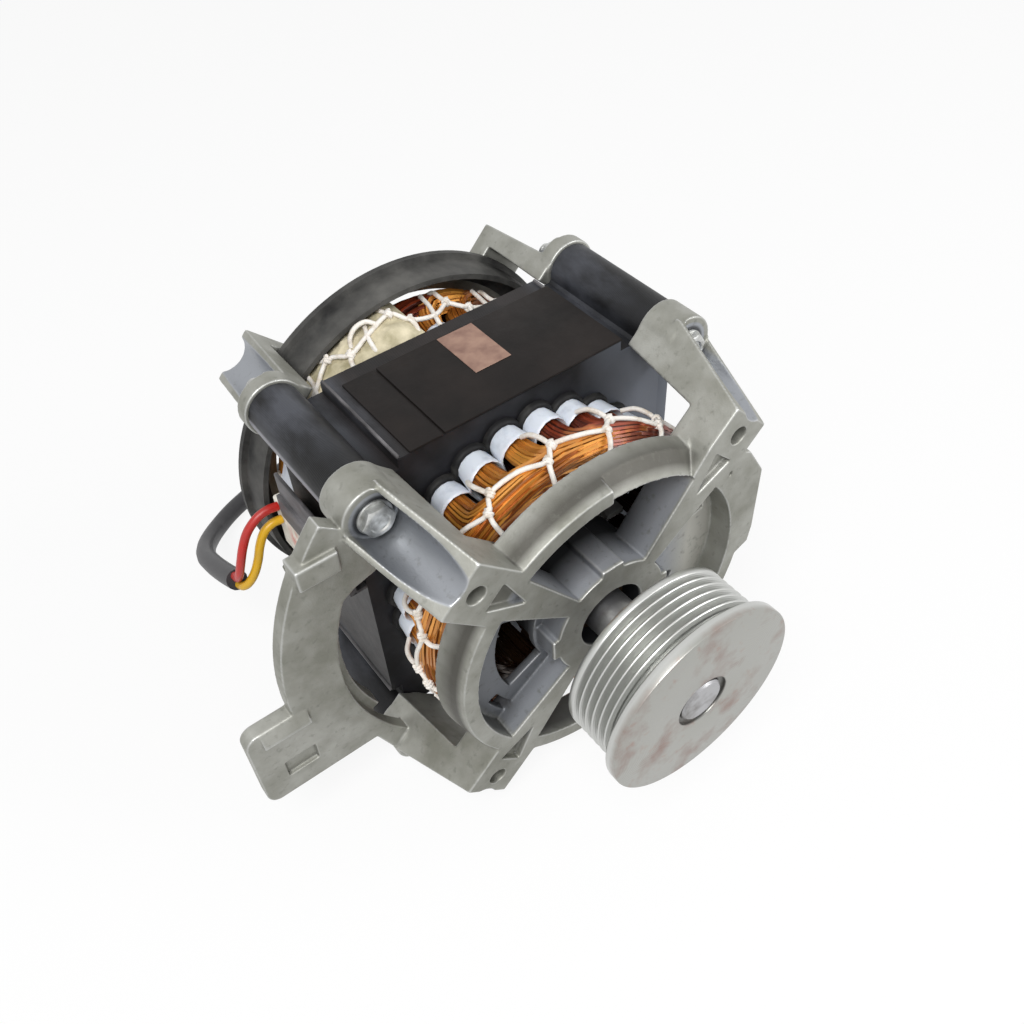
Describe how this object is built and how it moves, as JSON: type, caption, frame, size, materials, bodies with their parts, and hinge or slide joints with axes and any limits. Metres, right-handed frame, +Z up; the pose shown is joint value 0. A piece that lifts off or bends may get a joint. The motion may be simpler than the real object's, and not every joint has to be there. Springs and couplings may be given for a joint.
{
  "type": "washing machine motor",
  "caption": "Open-frame induction motor for a belt-driven washing machine, with cast end shields, wound stator, ribbed belt pulley, side lug and supply lead.",
  "frame": {"origin": "centre of the square of front mounting holes, on the shaft axis at the front mounting face", "axes": "+Z up, +Y along the shaft towards the rear, pulley towards -Y"},
  "size_m": [0.173, 0.1997, 0.1144],
  "materials": {
    "cast_aluminium": "as cast",
    "black_plastic": "matte",
    "black_lamination": "black varnish",
    "dark_liner": "varnished film",
    "white_film": "polyester film",
    "copper_winding": "varnished copper wire",
    "lacing_cord": "polyester cord",
    "fibre_wrap": "fibre mat",
    "black_cover": "black varnish",
    "paper_label": "aged paper",
    "zinc_steel": "zinc plated",
    "sintered_bronze": "oiled",
    "oil_felt": "felt",
    "spring_steel": "spring steel",
    "ground_steel": "ground",
    "rotor_steel": "turned laminations",
    "rotor_aluminium": "as cast",
    "fibre_washer": "hard fibre",
    "turned_aluminium": "turned",
    "white_sleeve": "insulating film",
    "red_insulation": "PVC",
    "yellow_insulation": "PVC",
    "grey_sheath": "PVC",
    "white_nylon": "nylon"
  },
  "bodies": {
    "stator": {"front_shield": "cast_aluminium", "rear_shield": "cast_aluminium", "rear_baffle": "black_plastic", "stator_core": "black_lamination", "slot_liners": "dark_liner", "slot_cuffs": "white_film", "stator_winding": "copper_winding", "front_lacing": "lacing_cord", "rear_lacing": "lacing_cord", "rear_wrap": "fibre_wrap", "thermal_protector": "black_plastic", "top_cover": "black_cover", "blank_label": "paper_label", "through_bolts": "zinc_steel", "bolt_nuts": "zinc_steel", "front_bush": "sintered_bronze", "front_felt": "oil_felt", "front_retainer": "spring_steel", "rear_bush": "sintered_bronze", "rear_felt": "oil_felt", "rear_retainer": "spring_steel", "lead_insulator": "white_sleeve", "red_lead": "red_insulation", "yellow_lead": "yellow_insulation", "lead_sheath": "grey_sheath", "lead_connector": "white_nylon"},
    "rotor": {"shaft": "ground_steel", "rotor_core": "rotor_steel", "front_end_ring": "rotor_aluminium", "rear_end_ring": "rotor_aluminium", "front_thrust_washer": "fibre_washer", "rear_thrust_washer": "fibre_washer", "shaft_clips": "spring_steel", "pulley": "turned_aluminium"}
  },
  "joints": [
    {"name": "rotor_spin", "type": "hinge", "parent": "stator", "child": "rotor", "pos_m": [0, 0, 0], "axis": [0, 1, 0], "continuous": true}
  ]
}
